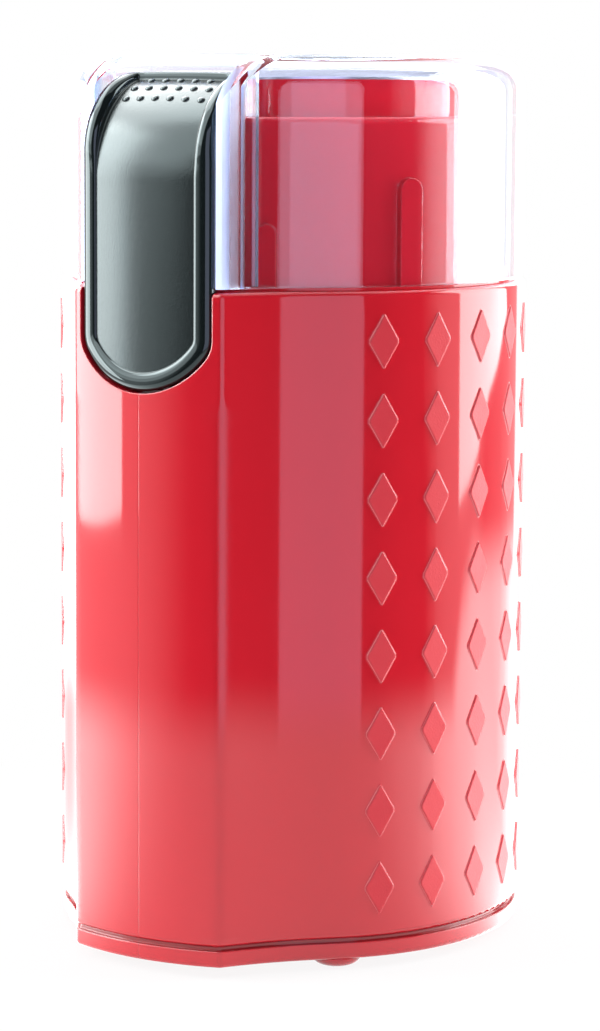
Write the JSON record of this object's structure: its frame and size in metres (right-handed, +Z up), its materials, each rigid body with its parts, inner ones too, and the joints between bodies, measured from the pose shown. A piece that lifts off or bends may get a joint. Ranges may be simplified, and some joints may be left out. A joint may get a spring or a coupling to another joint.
{
  "type": "electric coffee grinder",
  "caption": "Electric blade coffee grinder with a clear lift-off lid, a front press lever, a studded glossy housing on small feet, a steel bowl and a motor-driven blade.",
  "frame": {"origin": "middle of the footprint, on the surface that the feet stand on", "axes": "+Z up, front panel and press lever towards -Y, +X to the right seen from the front"},
  "size_m": [0.0914, 0.0986, 0.1701],
  "materials": {
    "red_gloss": "polished moulded plastic, grained on the studs",
    "clear_plastic": "clear polished styrene plastic",
    "black_plastic": "glossy rim round a finely grained centre",
    "bowl_steel": "spun stainless sheet",
    "blade_steel": "ground stainless",
    "shaft_steel": "ground steel",
    "screw_steel": "zinc plated",
    "spring_steel": "drawn spring wire",
    "black_rubber": "moulded rubber",
    "lamination_steel": "stacked steel sheet",
    "copper_wire": "enamelled copper",
    "bracket_alloy": "die-cast alloy",
    "bearing_bronze": "sintered bronze",
    "brush_carbon": "pressed carbon",
    "inner_plastic": "moulded plastic"
  },
  "bodies": {
    "housing": {"body_shell": "red_gloss", "base_plate": "red_gloss", "base_screws": "screw_steel", "chamber_collar": "red_gloss", "bowl_sleeve": "red_gloss", "collar_screws": "screw_steel", "grinding_bowl": "bowl_steel", "bowl_seal": "black_rubber", "cord_gland": "black_rubber", "lever_pin": "shaft_steel", "lever_springs": "spring_steel", "micro_switch": "inner_plastic", "switch_screws": "screw_steel", "stator_core": "lamination_steel", "field_coils": "copper_wire", "upper_bracket": "bracket_alloy", "lower_bracket": "bracket_alloy", "upper_bearing": "bearing_bronze", "lower_bearing": "bearing_bronze", "motor_screws": "screw_steel", "motor_dampers": "black_rubber", "damper_screws": "screw_steel", "brush_holders": "inner_plastic", "carbon_brushes": "brush_carbon", "brush_springs": "spring_steel", "suppression_capacitor": "inner_plastic"},
    "lid": {"lid": "clear_plastic"},
    "lever": {"press_lever": "black_plastic"},
    "plunger": {"switch_plunger": "inner_plastic"},
    "rotor": {"motor_shaft": "shaft_steel", "rotor_core": "lamination_steel", "rotor_winding": "copper_wire", "commutator": "copper_wire", "cooling_fan": "inner_plastic", "blade": "blade_steel", "blade_spacer": "inner_plastic", "blade_nut": "blade_steel"}
  },
  "joints": [
    {"name": "lid_lift", "type": "slide", "parent": "housing", "child": "lid", "axis": [0, 0, 1], "range_m": [0, 0.06]},
    {"name": "lever_press", "type": "hinge", "parent": "housing", "child": "lever", "pos_m": [0, -0.0448, 0.1118], "axis": [-1, 0, 0], "range_deg": [0, 4], "stiffness_Nm_per_rad": 3, "springref_deg": -2.29, "deforming": ["lever_springs"]},
    {"name": "plunger_press", "type": "slide", "parent": "housing", "child": "plunger", "axis": [0, 1, 0], "range_m": [0, 0.0007]},
    {"name": "rotor_spin", "type": "hinge", "parent": "housing", "child": "rotor", "pos_m": [0, 0.0036, 0.08], "axis": [0, 0, 1], "continuous": true}
  ],
  "couplings": [
    {"joint": "plunger_press", "follows": "lever_press", "m_per_rad": 0.01}
  ]
}
